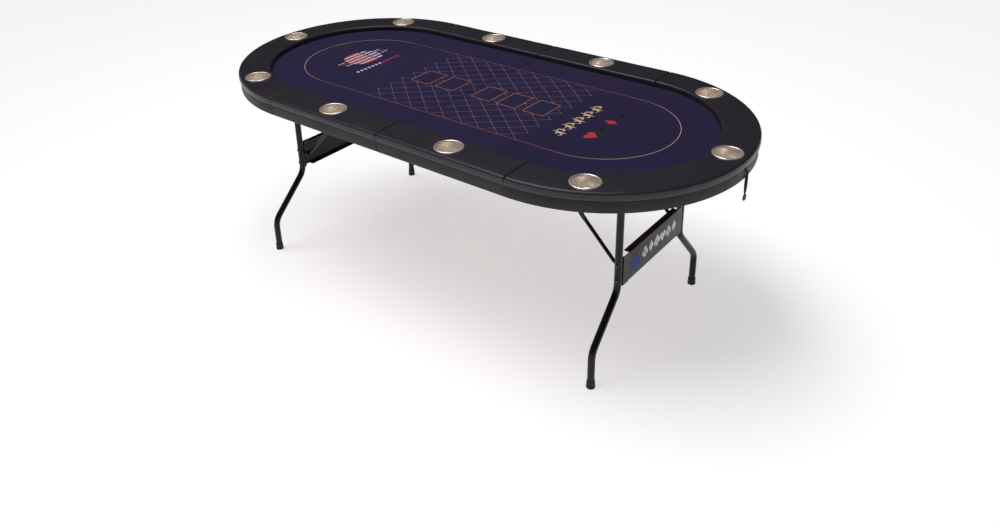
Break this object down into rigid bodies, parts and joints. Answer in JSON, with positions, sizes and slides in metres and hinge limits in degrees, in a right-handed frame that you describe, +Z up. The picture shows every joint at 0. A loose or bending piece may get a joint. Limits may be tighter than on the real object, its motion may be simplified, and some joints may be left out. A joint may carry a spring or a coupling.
{
  "type": "folding card table",
  "caption": "Oval folding casino card table with padded rail, steel cup holders, printed felt and hinged leg frames with folding braces.",
  "frame": {"origin": "on the floor under the middle of the table", "axes": "+X along the length to the end with the tie strap, +Y across the table, +Z up"},
  "size_m": [2.1397, 1.067, 0.787],
  "materials": {
    "wood_board": "wood-grain film, satin",
    "skirt_vinyl": "black vinyl, fine grain",
    "rail_leather": "black synthetic leather, soft sheen",
    "foam_pad": "dense foam",
    "felt": "printed speed cloth, matte",
    "cup_steel": "spun stainless steel",
    "black_plate": "black powder coat, satin",
    "zinc_steel": "zinc plated",
    "leg_paint": "black powder coat, semi-gloss",
    "bolt_steel": "black oxide",
    "foot_rubber": "moulded, matte",
    "strap_webbing": "woven elastic webbing",
    "strap_plastic": "moulded, satin"
  },
  "bodies": {
    "left_half": {"left_end_board": "wood_board", "left_middle_board": "wood_board", "left_end_skirt": "skirt_vinyl", "left_side_skirts": "skirt_vinyl", "left_end_rail": "rail_leather", "left_front_rail": "rail_leather", "left_back_rail": "rail_leather", "left_playfield_pads": "foam_pad", "left_end_felt": "felt", "left_middle_felt": "felt", "left_cup_front": "cup_steel", "left_cup_front_corner": "cup_steel", "left_cup_end": "cup_steel", "left_cup_back_corner": "cup_steel", "left_cup_back": "cup_steel", "left_joining_plates": "black_plate", "left_hinge_leaves": "black_plate", "left_leg_brackets": "black_plate", "left_pivot_pins": "zinc_steel", "left_screws": "zinc_steel", "strap_button": "strap_plastic"},
    "right_half": {"right_end_board": "wood_board", "right_middle_board": "wood_board", "right_end_skirt": "skirt_vinyl", "right_side_skirts": "skirt_vinyl", "right_end_rail": "rail_leather", "right_front_rail": "rail_leather", "right_back_rail": "rail_leather", "right_playfield_pads": "foam_pad", "right_end_felt": "felt", "right_middle_felt": "felt", "right_cup_front": "cup_steel", "right_cup_front_corner": "cup_steel", "right_cup_end": "cup_steel", "right_cup_back_corner": "cup_steel", "right_cup_back": "cup_steel", "right_joining_plates": "black_plate", "right_hinge_leaves": "black_plate", "right_leg_brackets": "black_plate", "right_pivot_pins": "zinc_steel", "right_screws": "zinc_steel", "strap_anchor": "strap_plastic", "tie_strap": "strap_webbing", "strap_ring": "strap_plastic"},
    "centre_links": {"centre_hinge_links": "black_plate", "centre_hinge_pins": "zinc_steel"},
    "left_leg_frame": {"left_leg_tubes": "leg_paint", "left_crossbar": "leg_paint", "left_frame_bolts": "bolt_steel", "left_feet": "foot_rubber"},
    "left_lower_brace_pair": {"left_lower_braces": "leg_paint"},
    "left_upper_brace_pair": {"left_upper_braces": "leg_paint"},
    "right_leg_frame": {"right_leg_tubes": "leg_paint", "right_crossbar": "leg_paint", "right_frame_bolts": "bolt_steel", "right_feet": "foot_rubber"},
    "right_lower_brace_pair": {"right_lower_braces": "leg_paint"},
    "right_upper_brace_pair": {"right_upper_braces": "leg_paint"}
  },
  "joints": [
    {"name": "fold_with_legs", "type": "hinge", "parent": "left_half", "child": "centre_links", "pos_m": [-0.026, 0, 0.705], "axis": [0, 1, 0], "range_deg": [0, 90]},
    {"name": "close_halves", "type": "hinge", "parent": "centre_links", "child": "right_half", "pos_m": [0.026, 0, 0.705], "axis": [0, 1, 0], "range_deg": [0, 90]},
    {"name": "left_leg_fold", "type": "hinge", "parent": "left_half", "child": "left_leg_frame", "pos_m": [-0.755, 0, 0.697], "axis": [0, -1, 0], "range_deg": [0, 90]},
    {"name": "left_lower_brace_turn", "type": "hinge", "parent": "left_leg_frame", "child": "left_lower_brace_pair", "pos_m": [-0.755, 0, 0.371], "axis": [0, -1, 0], "range_deg": [0, 47.04]},
    {"name": "left_upper_brace_turn", "type": "hinge", "parent": "left_half", "child": "left_upper_brace_pair", "pos_m": [-0.405, 0, 0.697], "axis": [0, 1, 0], "range_deg": [0, 42.98]},
    {"name": "right_leg_fold", "type": "hinge", "parent": "right_half", "child": "right_leg_frame", "pos_m": [0.76, 0, 0.697], "axis": [0, 1, 0], "range_deg": [0, 90]},
    {"name": "right_lower_brace_turn", "type": "hinge", "parent": "right_leg_frame", "child": "right_lower_brace_pair", "pos_m": [0.76, 0, 0.371], "axis": [0, 1, 0], "range_deg": [0, 47.04]},
    {"name": "right_upper_brace_turn", "type": "hinge", "parent": "right_half", "child": "right_upper_brace_pair", "pos_m": [0.41, 0, 0.697], "axis": [0, -1, 0], "range_deg": [0, 42.98]}
  ],
  "couplings": [
    {"joint": "left_leg_fold", "follows": "fold_with_legs", "ratio": 1},
    {"joint": "left_lower_brace_turn", "follows": "fold_with_legs", "ratio": 0.52259},
    {"joint": "left_upper_brace_turn", "follows": "fold_with_legs", "ratio": 0.47741},
    {"joint": "right_leg_fold", "follows": "fold_with_legs", "ratio": 1},
    {"joint": "right_lower_brace_turn", "follows": "fold_with_legs", "ratio": 0.52259},
    {"joint": "right_upper_brace_turn", "follows": "fold_with_legs", "ratio": 0.47741}
  ]
}
